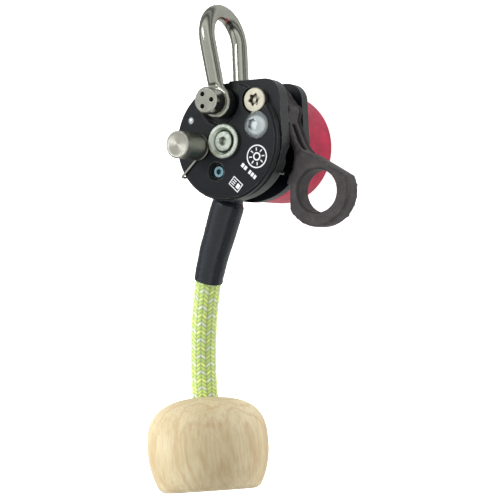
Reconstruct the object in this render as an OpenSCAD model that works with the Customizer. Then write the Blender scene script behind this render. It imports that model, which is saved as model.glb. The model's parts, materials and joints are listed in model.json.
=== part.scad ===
// Mechanical rope adjuster: two side plates, a shackle, a guide arm, a release lever
// with a rope handle, and a spring housing. It lies on the flat back of the housing.
// Millimetres. +Z runs from the back to the front face, +Y runs towards the shackle.

/* [Plates] */
// Radius of the round part of both side plates
plate_r = 28; // [27.5:0.1:28.5]
// Thickness of the front plate at its ear
front_t = 6.8; // [6.5:0.1:7.2]
// Height of the round raised face on the front plate
face_t = 3.6; // [3.2:0.1:3.8]
// Thickness of the rear plate
rear_t = 5.4; // [5:0.1:5.6]
// Space between the two plates
gap = 14.2; // [14.1:0.05:14.4]

/* [Spring housing] */
// Depth of the red spring housing behind the rear plate
cover_h = 27; // [26.5:0.1:27.5]
// Outer radius of the spring housing
cover_r = 27.6; // [27.2:0.1:27.8]
// Wall and floor of the spring housing
cover_wall = 3; // [2.6:0.1:3.2]

/* [Shackle] */
// Diameter of the shackle bar
bar_d = 7.6; // [7:0.1:7.8]
// Distance from the shackle pin to the middle of the bow's bar
bow_reach = 45.2; // [44:0.1:48]
// Half the widest distance between the bars
bow_r = 14.3; // [13.8:0.1:14.6]

/* [Guide arm] */
// Bore radius of the guide ring
ring_bore_r = 10; // [9.5:0.1:10.3]
// Outer radius of the guide ring
ring_r = 16.8; // [16.4:0.1:17]

/* [Rope handle] */
// Diameter of the handle rope
rope_d = 13.2; // [13:0.1:13.2]
// Largest diameter of the wooden knob
wood_d = 61; // [58:0.5:61]
// Length of the wooden knob
wood_len = 46; // [44:0.5:47]

/* [Hidden] */

$fn = 64;
eps = 0.01;

// Levels along Z
z_rear = cover_h;
z_gap = z_rear + rear_t;
z_front = z_gap + gap;
z_ear = z_front + front_t;
z_face = z_ear + face_t;
z_mid = z_gap + gap / 2;
side_play = 0.4;
eye_play = 0.8;

// Axes across the plates
pin_at = [-3, 18.5];
pivot_at = [16, 18.7];
post_at = [17.1, 6.9];
lock_at = [-15.2, -2];
stop_at = [-5, -14.1];
rivet_at = [-19.7, 10.9];
screw_circle_r = 20.6;
screw_spots = [for (a = [-2, 118, 238]) screw_circle_r * [cos(a), sin(a)]];
anchor_at = [-20.6, 0];
ring_at = [43, -23.9];
ear_corner = [19.4, 20.3];
ear_corner_r = 8.5;
// Lower right edge of the plates: an arc that stands proud of the round face
rim_centre = [1.6, 0];
rim_r = 27.6;

// Radii of pins and bores
bolt_r = 4;
run_play = 0.06;
plate_play = 0.1;
bush_wall = 1.1;
pivot_bush_r = bolt_r + run_play + bush_wall;
shaft_r = 7;
sleeve_bore_r = 5.4;

// Shackle
eye_r = 7.6;
eye_t = 6.4;
eye_bend = 8;
eye_offset = 10.2;
bow_lean = 7.7;
notch_r = 10.2;
pin_head_r = 6.2;
pin_head_h = 8.6;

// Release lever
lever_angle = -108;
lever_swing = 14;
stop_screw_r = 1.75;
spigot_r = 6.2;
spigot_from = 19;
spigot_to = 31.2;

// Lock bolt
knob_r = 6.5;
knob_h = 16.2;
knob_gap = 1.5;
plunger_r = 2.5;
lock_bush_r = 5;

// Ring of points for a round section of radius r at p, square to the direction t
function unit(v) = v / norm(v);
function ring_points(p, t, r, sides) =
    let (side = unit(cross([0, 0, 1], t)), up = cross(t, side))
    [for (i = [0 : sides - 1]) let (a = 360 * i / sides)
        p + r * (cos(a) * side + sin(a) * up)];
function steep_points(p, t, r, sides) =
    let (side = unit(cross([1, 0, 0], t)), up = cross(t, side))
    [for (i = [0 : sides - 1]) let (a = 360 * i / sides)
        p + r * (cos(a) * side + sin(a) * up)];
function tangent(path, i) =
    unit(path[min(i + 1, len(path) - 1)] - path[max(i - 1, 0)]);
function flat(list) = [for (part = list) each part];

// One solid swept along a path, with one radius for each of its points
module sweep(path, radii, sides = 12) {
    n = len(path);
    points = flat([for (i = [0 : n - 1])
        ring_points(path[i], tangent(path, i), radii[i], sides)]);
    walls = [for (i = [0 : n - 2], j = [0 : sides - 1])
        let (k = (j + 1) % sides)
        [i * sides + j, i * sides + k, (i + 1) * sides + k, (i + 1) * sides + j]];
    first = [[for (j = [sides - 1 : -1 : 0]) j]];
    last = [[for (j = [0 : sides - 1]) (n - 1) * sides + j]];
    polyhedron(points, concat(walls, first, last), convexity = 6);
}

// A tube with a wall, swept along a path
module sweep_tube(path, outer, inner, sides = 12) {
    n = len(path);
    loops = concat(
        [for (i = [0 : n - 1]) ring_points(path[i], tangent(path, i), outer[i], sides)],
        [for (i = [n - 1 : -1 : 0]) ring_points(path[i], tangent(path, i), inner[i], sides)]);
    m = len(loops);
    walls = [for (i = [0 : m - 1], j = [0 : sides - 1])
        let (k = (j + 1) % sides, next = (i + 1) % m)
        [i * sides + j, i * sides + k, next * sides + k, next * sides + j]];
    polyhedron(flat(loops), walls, convexity = 6);
}

// A coil of round wire about +Z
function coil_path(r, z0, z1, turns, steps, start = 0, way = 1) =
    [for (i = [0 : turns * steps]) let (a = start + way * 360 * i / steps)
        [r * cos(a), r * sin(a), z0 + (z1 - z0) * i / (turns * steps)]];

// Points of an arc about c, from angle a0 to a1
function arc_points(c, r, a0, a1, steps = 8) =
    [for (i = [0 : steps]) let (a = a0 + (a1 - a0) * i / steps) c + r * [cos(a), sin(a)]];

module disc(at, r, z0, z1) {
    translate([at[0], at[1], z0]) cylinder(r = r, h = z1 - z0);
}

module cone(at, r0, r1, z0, z1) {
    translate([at[0], at[1], z0]) cylinder(r1 = r0, r2 = r1, h = z1 - z0);
}

module hex_socket(at, across, z0, z1) {
    translate([at[0], at[1], z0]) rotate(20) cylinder(r = across / sqrt(3), h = z1 - z0, $fn = 6);
}

// Outline shared by both plates: a disc with its right side drawn out to a rounded ear
module plate_outline() {
    circle(r = plate_r, $fn = 128);
    translate(ear_corner) circle(r = ear_corner_r);
    polygon(concat([[0, 0]], arc_points(rim_centre, rim_r, -78, 10, 14),
        [ear_corner + [ear_corner_r, 0.4], ear_corner, ear_corner + [0, ear_corner_r],
        [0, ear_corner[1] + ear_corner_r]]));
}

module front_plate() color([0.09, 0.10, 0.12]) difference() {
    union() {
        translate([0, 0, z_front]) linear_extrude(front_t) plate_outline();
        disc([0, 0], plate_r, z_ear - eps, z_face - 0.9, $fn = 128);
        cone([0, 0], plate_r, plate_r - 0.9, z_face - 0.9, z_face, $fn = 128);
    }
    // notch for the shackle eye, open towards the top edge
    disc(pin_at, notch_r, z_ear, z_face + 1);
    cone(pin_at, notch_r, notch_r + 0.9, z_face - 0.8, z_face + eps);
    translate([pin_at[0] - notch_r, pin_at[1], z_ear]) cube([2 * notch_r, 20, face_t + 1]);
    disc(pin_at, bolt_r + run_play + bush_wall, z_front - 1, z_ear + 1);
    // counterbore of the arm's pivot bolt
    disc(pivot_at, 6.7, z_ear + 0.3, z_face + 1);
    disc(pivot_at, bolt_r + plate_play, z_front - 1, z_ear + 1);
    disc(post_at, bolt_r + plate_play, z_front - 1, z_face + 1);
    disc([0, 0], bolt_r + plate_play, z_front - 1, z_face + 1);
    disc(lock_at, lock_bush_r + plate_play, z_front - 1, z_face + 1);
    disc(rivet_at, 1.8, z_front - 1, z_face + 1);
    // two-step counterbore of the travel stop screw
    disc(stop_at, 4.6, z_face - 2.4, z_face + 1);
    disc(stop_at, 3.4, z_face - 5.4, z_face + 1);
    disc(stop_at, stop_screw_r + plate_play, z_front - 1, z_face + 1);
    // rope relief in the right edge
    disc([plate_r + 8, -9], 9, z_front - 1, z_front + 3);
}

module rear_plate() color([0.09, 0.10, 0.12]) difference() {
    translate([0, 0, z_rear]) linear_extrude(rear_t) plate_outline();
    disc([0, 0], shaft_r + run_play + bush_wall, z_rear - 1, z_gap + 1);
    disc(pin_at, bolt_r + plate_play, z_rear + 1.4, z_gap + 1);
    disc(pivot_at, bolt_r + plate_play, z_rear + 1.2, z_gap + 1);
    disc(post_at, bolt_r + plate_play, z_rear + 1.2, z_gap + 1);
    disc(lock_at, plunger_r + plate_play, z_gap - 3.4, z_gap + 1);
    disc(stop_at, stop_screw_r + plate_play, z_rear + 1.2, z_gap + 1);
    disc(rivet_at, 1.8, z_rear + 1.2, z_gap + 1);
    for (at = screw_spots) disc(at, 2.1, z_rear - 1, z_gap - 1.4);
    // sloping relief for the shackle's rear leg over its whole swing
    translate([pin_at[0], pin_at[1], 0]) rotate(bow_lean + 90 - 62)
        rotate_extrude(angle = 124) polygon([[5, z_gap - 0.3], [24, z_gap - 3],
            [24, z_gap + 1], [5, z_gap + 1]]);
}

module rear_cover() color([0.72, 0.10, 0.22]) difference() {
    union() {
        rotate_extrude($fn = 128) polygon(concat(
            [[0, 0]], arc_points([cover_r - 2.5, 2.5], 2.5, -90, 0),
            [[cover_r, cover_h], [cover_r - cover_wall, cover_h],
            [cover_r - cover_wall, cover_wall], [0, cover_wall]]));
        for (at = screw_spots) disc(at, 4.4, cover_wall - eps, cover_h);
        disc([0, 0], 10, cover_wall - eps, 6);
    }
    disc([0, 0], 8.2, cover_wall, 7);
    for (at = screw_spots) {
        disc(at, 2.15, -1, cover_h + 1);
        disc(at, 3.8, -1, 4.4);
    }
    disc(anchor_at, 1.6, cover_wall - 1.2, cover_wall + 1);
}

module cover_screws() color([0.62, 0.64, 0.66])
    for (at = screw_spots) difference() {
        union() {
            disc(at, 3.5, 0.4, 4.35);
            disc(at, 2, 4.3, z_gap - 1.6);
        }
        hex_socket(at, 3, 0.3, 2.6);
    }

// Shackle frame: u runs from the pin to the bow, w runs along the pin
module in_shackle() {
    translate([pin_at[0], pin_at[1], z_shackle]) rotate([0, 0, bow_lean]) children();
}
z_shackle = z_ear + eye_play + eye_t / 2 - eye_offset;

module shackle_leg() {
    bend_u = bow_reach - bow_r - bow_r * sin(eye_bend);
    bend_w = bow_r * cos(eye_bend);
    leg = (bend_w - eye_offset) / sin(eye_bend);
    translate([0, bend_u, bend_w]) rotate([90 + eye_bend, 0, 0]) translate([0, 0, -0.6])
        cylinder(d = bar_d + 0.1, h = leg + 0.6);
}

module shackle_bow() color([0.78, 0.78, 0.76]) in_shackle() difference() {
    union() {
        translate([0, bow_reach - bow_r, 0]) rotate([0, 90, 0]) rotate([0, 0, -eye_bend])
            rotate_extrude(angle = 180 + 2 * eye_bend) translate([bow_r, 0]) circle(d = bar_d);
        for (flip = [0, 1]) mirror([0, 0, flip]) {
            shackle_leg();
            translate([0, 0, eye_offset - eye_t / 2]) cylinder(r = eye_r, h = eye_t);
        }
    }
    for (flip = [0, 1]) mirror([0, 0, flip]) {
        translate([0, 0, eye_offset - 5]) cylinder(r = bolt_r + run_play, h = 10);
        translate([0, 0, eye_offset + eye_t / 2]) cylinder(r = eye_r + 1, h = 4);
        translate([0, 0, eye_offset - eye_t / 2 - 4]) cylinder(r = eye_r + 1, h = 4);
    }
}

pin_top = z_ear + eye_play + eye_t + 0.1 + pin_head_h;
module shackle_pin() color([0.74, 0.73, 0.70]) difference() {
    union() {
        disc(pin_at, bolt_r, z_rear + 1.8, pin_top - 1);
        disc(pin_at, pin_head_r, pin_top - pin_head_h, pin_top - 0.6);
        cone(pin_at, pin_head_r, pin_head_r - 0.6, pin_top - 0.6, pin_top);
    }
    for (a = [0, 120, 240]) disc(pin_at + 3.3 * [cos(a), sin(a)], 1.15, pin_top - 3, pin_top + 1);
}

module shackle_bush() color([0.72, 0.55, 0.30]) difference() {
    disc(pin_at, bolt_r + run_play + bush_wall - 0.02, z_front, z_ear);
    disc(pin_at, bolt_r + run_play, z_front - 1, z_ear + 1);
}

// Guide arm
arm_back = z_gap + 1;
arm_front = z_front - 0.8;
block_back = arm_front - 11;
arm_boss_r = 8;
arm_swing = 24;
post_r = 5;
post_play = 0.35;
post_reach = norm(post_at - pivot_at);
post_angle = atan2(post_at[1] - pivot_at[1], post_at[0] - pivot_at[0]);

module arm_rear_outline() {
    translate(pivot_at) circle(r = arm_boss_r);
    polygon([[15, 11.4], [20.6, 12.6], [23.4, 11.2], [24.2, 8.6], [24.3, 4.5], [25.6, 0],
        [28.4, -7], [38, -8], [35.6, -5.2], [33.8, -3.4], [32.2, -0.6], [30.4, 3.6],
        [28, 9.6], [28.2, 12.4], [29, 14.6], [28.2, 16.6], [26.4, 17.9], [23.4, 21.6],
        [18, 22]]);
}

module arm_front_outline() difference() {
    union() {
        translate(pivot_at) circle(r = arm_boss_r);
        translate(ring_at) circle(r = ring_r, $fn = 96);
        polygon([[15, 11.4], [20.6, 12.6], [23.4, 11.2], [24.6, 8.6], [26.2, 4.5], [28.4, 0],
            [30.4, -4], [30.7, -8.3], [29.6, -14], [28.9, -20.9], [28.9, -33.3], [29.7, -34.7],
            [35.4, -38], ring_at, [48, -16], [46, -8.5], [38, -6.2],
            [35.6, -5], [33.8, -3.2], [32.2, -0.6], [30.4, 3.6], [28, 9.6], [28.2, 12.4],
            [29, 14.6], [28.2, 16.6], [26.4, 17.9], [23.4, 21.6], [18, 22]]);
    }
    // flank that trims the ring above
    translate(ring_at) rotate(-29.5) translate([-12, 13.6]) square([40, 20]);
    // flat on the ring's inner side
    translate([ring_at[0] - 20, ring_at[1] - 10.5]) square([5.7, 14]);
}

module guide_arm() color([0.36, 0.33, 0.34]) difference() {
    union() {
        translate([0, 0, arm_back]) linear_extrude(block_back - arm_back + eps) arm_rear_outline();
        translate([0, 0, block_back]) linear_extrude(arm_front - block_back) arm_front_outline();
    }
    // slot between the two prongs, along the arm's outer flank
    translate([31.1, 1.6, arm_front - 6.4]) rotate(30) translate([-4, -7, 0]) cube([14, 14, 4]);
    // room for the stop post over the whole swing
    disc(post_at, post_r + post_play, arm_back - 1, arm_front + 1);
    translate([pivot_at[0], pivot_at[1], arm_back - 1]) rotate(post_angle - arm_swing - 2)
        rotate_extrude(angle = arm_swing + 2)
            translate([post_reach - post_r - post_play - 0.1, 0])
                square([2 * (post_r + post_play + 0.1), arm_front - arm_back + 2]);
    disc(pivot_at + post_reach * [cos(post_angle - arm_swing - 2), sin(post_angle - arm_swing - 2)],
        post_r + post_play, arm_back - 1, arm_front + 1);
    disc(pivot_at, pivot_bush_r + 0.02, arm_back - 1, arm_front + 1);
    disc(ring_at, ring_bore_r, block_back - 1, arm_front + 1);
    cone(ring_at, ring_bore_r, ring_bore_r + 0.9, arm_front - 0.9, arm_front + eps);
    cone(ring_at, ring_bore_r + 0.9, ring_bore_r, block_back - eps, block_back + 0.9);
}

module arm_bush() color([0.72, 0.55, 0.30]) difference() {
    disc(pivot_at, pivot_bush_r, arm_back + 0.1, arm_front - 0.1);
    disc(pivot_at, bolt_r + run_play, arm_back - 1, arm_front + 1);
}

module arm_pivot_bolt() color([0.78, 0.74, 0.64]) difference() {
    union() {
        disc(pivot_at, bolt_r, z_rear + 1.4, z_ear + 1);
        disc(pivot_at, 5.8, z_ear + 0.35, z_face - 0.5);
        cone(pivot_at, 5.8, 5.4, z_face - 0.5, z_face - 0.1);
    }
    // lobed socket with a pin in its middle
    difference() {
        union() {
            disc(pivot_at, 2.3, z_face - 2.3, z_face + 2);
            for (a = [10 : 60 : 310])
                disc(pivot_at + 2.3 * [cos(a), sin(a)], 0.75, z_face - 2.3, z_face + 2);
        }
        disc(pivot_at, 0.9, z_face - 3, z_face - 0.6);
    }
}

module stop_post() color([0.60, 0.60, 0.60]) difference() {
    disc(post_at, post_r, z_gap, z_front);
    disc(post_at, bolt_r + plate_play, z_gap - 1, z_front + 1);
}

// Domed head: a cap cut from a sphere whose edge has radius r and whose height is h
module domed_head(at, r, h, z0) {
    ball = (r * r + h * h) / (2 * h);
    translate([at[0], at[1], z0]) rotate_extrude() polygon(concat([[0, 0]],
        arc_points([0, h - ball], ball, asin((ball - h) / ball), 90, 10)));
}

module stop_post_bolt() color([0.80, 0.83, 0.86]) difference() {
    union() {
        disc(post_at, bolt_r, z_rear + 1.4, z_face + 1);
        domed_head(post_at, 6.6, 3.9, z_face);
    }
    hex_socket(post_at, 5, z_face + 1.4, z_face + 6);
}

module centre_washer() color([0.78, 0.82, 0.78]) difference() {
    union() {
        disc([0, 0], 8.25, z_face, z_face + 1.9);
        cone([0, 0], 8.25, 7.75, z_face + 1.9, z_face + 2.4);
    }
    // dished seat for the bolt's head
    cone([0, 0], 4.8, 6.5, z_face + 0.7, z_face + 2.4 + eps);
    disc([0, 0], bolt_r + plate_play, z_face - 1, z_face + 3);
}

module centre_bolt() color([0.80, 0.84, 0.80]) difference() {
    union() {
        disc([0, 0], bolt_r, 9, z_face + 1);
        disc([0, 0], 4.6, z_face + 0.75, z_face + 1.7);
        cone([0, 0], 4.6, 4.1, z_face + 1.7, z_face + 2.1);
    }
    hex_socket([0, 0], 4, z_face - 0.8, z_face + 5);
}

module centre_nut() color([0.62, 0.64, 0.66]) difference() {
    translate([0, 0, 10.6]) cylinder(r = 6.5 / cos(30), h = 6.2, $fn = 6);
    disc([0, 0], bolt_r + 0.02, 10, 17);
}

// Release lever and brake cam: hub, neck with an arc slot, spigot for the rope
module cam_outline() {
    circle(r = 9.4);
    rotate(-25) translate([2.6, 0]) circle(r = 9);
    rotate(lever_angle) polygon([[2, -8], [12, -8.6], [18, -8.6], [21, -6], [21, 6],
        [18, 8.6], [12, 8.6], [2, 8]]);
}

module brake_cam() color([0.50, 0.51, 0.53]) difference() {
    union() {
        translate([0, 0, z_gap + side_play]) linear_extrude(gap - 2 * side_play) cam_outline();
        disc([0, 0], shaft_r, 17, z_gap + side_play + 1);
        translate([0, 0, z_mid]) rotate([0, 0, lever_angle]) rotate([0, 90, 0])
            translate([0, 0, spigot_from]) cylinder(r = spigot_r, h = spigot_to - spigot_from);
    }
    disc([0, 0], sleeve_bore_r + 0.02, 16, z_front + 1);
    // groove for the lever spring under the front plate
    difference() {
        disc([0, 0], 12.2, z_front - 3.4, z_front);
        disc([0, 0], 7.8, z_front - 4, z_front + 1);
    }
    // arc slot round the travel stop screw
    translate([0, 0, z_gap]) rotate(atan2(stop_at[1], stop_at[0]) - lever_swing - 1.5)
        rotate_extrude(angle = 2 * lever_swing + 3) translate([norm(stop_at) - 2.1, 0])
            square([4.2, gap]);
    for (side = [-1, 1]) rotate(side * (lever_swing + 1.5)) disc(stop_at, 2.1, z_gap, z_front);
}

module cam_sleeve() color([0.72, 0.55, 0.30]) difference() {
    disc([0, 0], sleeve_bore_r, 17.2, z_front - 0.2);
    disc([0, 0], bolt_r + run_play, 16, z_front + 1);
}

module shaft_bush() color([0.72, 0.55, 0.30]) difference() {
    disc([0, 0], shaft_r + run_play + bush_wall - 0.02, z_rear, z_gap);
    disc([0, 0], shaft_r + run_play, z_rear - 1, z_gap + 1);
}

module spring_hub() color([0.55, 0.56, 0.58]) difference() {
    union() {
        disc([0, 0], 9.6, 17.6, 25.6);
        disc([0, 0], 12, 24, 25.6);
    }
    disc([0, 0], shaft_r + 0.02, 17, 26);
    translate([7.9, -0.9, 17]) cube([3, 1.8, 5]);
}

module brake_spring() color([0.45, 0.47, 0.50]) {
    path = coil_path(12.6, 6.2, 21.4, 6, 16, 180);
    sweep(concat([[-18.6, -0.2, 6.2]], path), [for (i = [0 : len(path)]) 1.1], 6);
}

module spring_anchor() color([0.60, 0.60, 0.60])
    disc(anchor_at, 1.55, cover_wall - 1.1, 12);

// The spring's outer leg runs from the coil's tangent point to a hook over the plate's edge
hook_at = 29.9 * [cos(-31), sin(-31)];
spring_r = 9.1;
leg_start_angle = -31 + acos(spring_r / norm(hook_at));
module lever_spring() color([0.72, 0.74, 0.76]) {
    coil = coil_path(spring_r, z_front - 2.3, z_front - 1, 1.5, 20, leg_start_angle + 540, -1);
    start = spring_r * [cos(leg_start_angle), sin(leg_start_angle)];
    leg = hook_at - start;
    out = unit(hook_at);
    path = concat(coil, [for (f = [0.35, 0.7, 0.97]) concat(start + f * leg, z_front - 0.9)], [
        concat(hook_at, z_front - 0.2), concat(hook_at + 0.2 * out, z_front + 1.6),
        concat(hook_at - 0.4 * out, z_front + 3)]);
    sweep_wire(path, 0.55, 8);
}

// A thin wire whose path may run upright
module sweep_wire(path, r, sides) {
    n = len(path);
    points = flat([for (i = [0 : n - 1]) steep_points(path[i], tangent(path, i), r, sides)]);
    walls = [for (i = [0 : n - 2], j = [0 : sides - 1])
        let (k = (j + 1) % sides)
        [i * sides + j, i * sides + k, (i + 1) * sides + k, (i + 1) * sides + j]];
    first = [[for (j = [sides - 1 : -1 : 0]) j]];
    last = [[for (j = [0 : sides - 1]) (n - 1) * sides + j]];
    polyhedron(points, concat(walls, first, last), convexity = 6);
}

module travel_stop_screw() color([0.45, 0.62, 0.70]) difference() {
    union() {
        disc(stop_at, stop_screw_r, z_rear + 1.4, z_face - 5);
        disc(stop_at, 3.1, z_face - 5.35, z_face - 2.7);
        cone(stop_at, 3.1, 2.6, z_face - 2.7, z_face - 2.2);
    }
    hex_socket(stop_at, 2.5, z_face - 4, z_face);
}

module spacer_rivet() color([0.85, 0.86, 0.86]) {
    disc(rivet_at, 1.7, z_rear + 1.4, z_face - 0.2);
    domed_head(rivet_at, 1.7, 0.6, z_face - 0.2);
    disc(rivet_at, 3.2, z_gap + 0.1, z_front - 0.1);
}

// Lock bolt: a spring plunger across the gap, pulled by the knob
lock_stroke = 6;
knob_z = z_face + knob_gap;
module lock_bushing() color([0.66, 0.64, 0.60]) difference() {
    disc(lock_at, lock_bush_r, z_front + 0.4, z_face + 4.4);
    disc(lock_at, 4.1, z_front - 1, z_face + 2.9);
    disc(lock_at, plunger_r + plate_play, z_face + 2, z_face + 5);
}

module lock_plunger() color([0.66, 0.66, 0.66]) {
    cone(lock_at, plunger_r - 0.5, plunger_r, z_gap - 3, z_gap - 2.4);
    disc(lock_at, plunger_r, z_gap - 2.4, knob_z + knob_h - 3);
    disc(lock_at, 3.8, z_front + 0.9, z_front + 2.4);
}

module lock_spring() color([0.72, 0.74, 0.76]) translate([lock_at[0], lock_at[1], 0]) {
    path = coil_path(3.2, z_front + 2.9, z_face + 2.5, 5, 16);
    sweep(path, [for (p = path) 0.4], 6);
}

module lock_knob() color([0.66, 0.64, 0.58]) difference() {
    union() {
        cone(lock_at, knob_r - 0.5, knob_r, knob_z, knob_z + 0.5);
        disc(lock_at, knob_r, knob_z + 0.5, knob_z + knob_h - 3);
        disc(lock_at, knob_r - 0.2, knob_z + knob_h - 3, knob_z + knob_h - 2.6);
        disc(lock_at, knob_r, knob_z + knob_h - 2.6, knob_z + knob_h - 0.5);
        cone(lock_at, knob_r, knob_r - 0.5, knob_z + knob_h - 0.5, knob_z + knob_h);
    }
    disc(lock_at, lock_bush_r + 0.25, knob_z - 1, knob_z + 4.2);
    disc(lock_at, plunger_r + 0.02, knob_z, knob_z + knob_h - 2.8);
}

wire_angle = -136;
wire_r = 0.6;
wire_loop_r = 5.95;
module retaining_wire() color([0.80, 0.78, 0.72]) translate([lock_at[0], lock_at[1], 0]) {
    z = z_face + wire_r + 0.12;
    out = [cos(wire_angle), sin(wire_angle)];
    leave = wire_angle + 41;
    start = wire_loop_r * [cos(leave), sin(leave)];
    path = concat([for (i = [20 : -1 : 0]) concat(wire_loop_r * [cos(leave + 15 * i),
        sin(leave + 15 * i)], z)], [
        concat(start + 5 * out, z), concat(start + 10.9 * out, z),
        concat(start + 11.8 * out, z - 0.5), concat(start + 12.1 * out, z - 1.8),
        concat(start + 12.1 * out, z - 3.4)]);
    sweep_wire(path, wire_r, 8);
}

// Route of the handle rope, from the spigot's end to the knot inside the wooden knob
route = [[-9.9, -30.4, 39.4], [-11, -33, 39.2], [-13.4, -39, 38.6], [-15.8, -45, 38],
    [-18.4, -51, 37.4], [-20.6, -57, 36.7], [-22.7, -63, 35.9], [-23.8, -66.6, 35.4],
    [-26.5, -77, 33.6], [-28, -84, 32.4], [-29.3, -91, 31.2], [-30.3, -98, 30.1],
    [-31, -105, 29.1], [-31.4, -112, 28.3], [-31.4, -118, 27.9], [-30.9, -124.5, 27.9],
    [-29, -136.3, 29.4], [-27.2, -148, 30.9], [-26, -155.2, 31.8]];
rope_r = rope_d / 2;

module handle_rope() color([0.72, 0.85, 0.35])
    sweep(route, [for (p = route) rope_r], 12);

// Shrink sleeve over the spigot and the rope's upper end
sleeve_path = concat([[-8, -24.7, 39.5], [-8.6, -26.8, 39.5], [-9.3, -28.8, 39.5]],
    [for (i = [0 : 7]) route[i]]);
sleeve_outer = [6.8, 6.8, 8, 8.2, 8.2, 8.1, 7.95, 7.75, 7.55, 7.4, 7.2];
sleeve_inner = [for (i = [0 : 10]) i < 3 ? 6.55 : 6.95];
module rope_sleeve() color([0.10, 0.10, 0.12]) sweep_tube(sleeve_path, sleeve_outer, sleeve_inner);

// Wooden knob: z runs along its axis from its middle towards its lower end
wood_at = [-27, -149, 31];
wood_lean = 9;
wood_tilt = 7;
wood_r = wood_d / 2;
wood_belly = 1.5;
function wood_profile(s) = s < wood_belly
    ? wood_r * pow(1 - pow((wood_belly - s) / 25, 3), 1 / 2.6)
    : wood_r * sqrt(1 - pow((s - wood_belly) / 36, 2));
module on_wood() {
    translate(wood_at) rotate([0, 0, wood_lean]) rotate([90 - wood_tilt, 0, 0]) children();
}

module wooden_knob() color([0.85, 0.74, 0.60]) on_wood() difference() {
    rotate_extrude($fn = 96) polygon(concat([[0, -wood_len / 2]],
        [for (i = [0 : 24]) let (s = -wood_len / 2 + (wood_len - 1.6) * i / 24)
            [wood_profile(s), s]],
        [[wood_profile(wood_len / 2) - 1.8, wood_len / 2], [0, wood_len / 2]]));
    translate([0, 0, -wood_len]) cylinder(r = rope_r + 0.75, h = 2 * wood_len);
    translate([0, 0, 5]) cylinder(r = 13, h = wood_len);
}

module knob_washer() color([0.70, 0.71, 0.72]) on_wood() difference() {
    translate([0, 0, 5]) cylinder(r = 12, h = 1.6);
    translate([0, 0, 4]) cylinder(r = rope_r + 0.75, h = 4);
}

module stopper_knot() color([0.72, 0.85, 0.35]) on_wood() translate([0, 0, 6.7])
    rotate_extrude() polygon(concat([[0, 0]],
        arc_points([6.4, 4.6], 4.6, -90, 70), arc_points([4.4, 10.6], 4.4, -20, 90)));

front_plate();
rear_plate();
rear_cover();
cover_screws();
shackle_bow();
shackle_pin();
shackle_bush();
guide_arm();
arm_bush();
arm_pivot_bolt();
stop_post();
stop_post_bolt();
centre_bolt();
centre_washer();
centre_nut();
brake_cam();
cam_sleeve();
shaft_bush();
spring_hub();
brake_spring();
spring_anchor();
lever_spring();
travel_stop_screw();
spacer_rivet();
lock_bushing();
lock_plunger();
lock_spring();
lock_knob();
retaining_wire();
rope_sleeve();
handle_rope();
wooden_knob();
knob_washer();
stopper_knot();
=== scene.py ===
import json
import math

import bmesh
import bpy
import numpy as np
from mathutils import Matrix, Vector, kdtree, noise


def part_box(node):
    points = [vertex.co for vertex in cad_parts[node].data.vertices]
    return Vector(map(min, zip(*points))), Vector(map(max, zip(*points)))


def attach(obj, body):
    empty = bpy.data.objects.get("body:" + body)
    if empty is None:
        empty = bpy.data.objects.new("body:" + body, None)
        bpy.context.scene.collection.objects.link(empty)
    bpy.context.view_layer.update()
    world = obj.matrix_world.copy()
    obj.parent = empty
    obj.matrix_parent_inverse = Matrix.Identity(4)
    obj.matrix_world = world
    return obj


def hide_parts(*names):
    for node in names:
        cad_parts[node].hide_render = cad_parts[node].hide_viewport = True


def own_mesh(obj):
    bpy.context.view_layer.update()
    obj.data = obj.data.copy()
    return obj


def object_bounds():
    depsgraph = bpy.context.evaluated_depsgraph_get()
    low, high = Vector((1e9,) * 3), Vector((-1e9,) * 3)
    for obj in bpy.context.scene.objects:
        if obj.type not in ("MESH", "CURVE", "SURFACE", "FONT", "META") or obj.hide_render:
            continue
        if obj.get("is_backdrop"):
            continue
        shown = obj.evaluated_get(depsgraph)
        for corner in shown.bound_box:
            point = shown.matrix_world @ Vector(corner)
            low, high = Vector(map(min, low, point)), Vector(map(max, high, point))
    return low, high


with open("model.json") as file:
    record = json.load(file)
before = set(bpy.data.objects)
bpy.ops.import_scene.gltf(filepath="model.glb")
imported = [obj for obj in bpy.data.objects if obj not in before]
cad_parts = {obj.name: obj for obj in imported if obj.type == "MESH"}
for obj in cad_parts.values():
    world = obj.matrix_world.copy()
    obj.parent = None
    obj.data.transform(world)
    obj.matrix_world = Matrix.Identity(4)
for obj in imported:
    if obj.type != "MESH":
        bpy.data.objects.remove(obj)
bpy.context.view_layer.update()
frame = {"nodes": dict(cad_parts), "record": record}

MM = 0.001
NODES = frame["nodes"]
SCENE = bpy.context.scene


def middle(node):
    """The middle of a CAD node's box."""
    low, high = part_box(node)
    return (low + high) / 2


def mount_at(name):
    """A mount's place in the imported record."""
    return [m for m in frame["record"]["mounts"] if m["name"] == name][0]["pos_m"]


# The outer face of the front plate, which carries the printed marks
FACE_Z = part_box("front_plate")[1].z

# ---------------------------------------------------------------- camera
# The camera leans about Y only, and looks down on the front plate from the side of +X
CAMERA_TURN = math.radians(31.77)
CAMERA_X = 308.5 * MM
CAMERA_Y = -51.3 * MM
CAMERA_ABOVE_FACE = 475.7 * MM
LENS_IN_MM = 86.4
SENSOR_IN_MM = 36
camera_data = bpy.data.cameras.new("camera")
camera_data.lens = LENS_IN_MM
camera_data.sensor_width = SENSOR_IN_MM
camera = bpy.data.objects.new("camera", camera_data)
SCENE.collection.objects.link(camera)
camera.location = (CAMERA_X, CAMERA_Y, FACE_Z + CAMERA_ABOVE_FACE)
camera.rotation_euler = (0, CAMERA_TURN, 0)
SCENE.camera = camera

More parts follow.
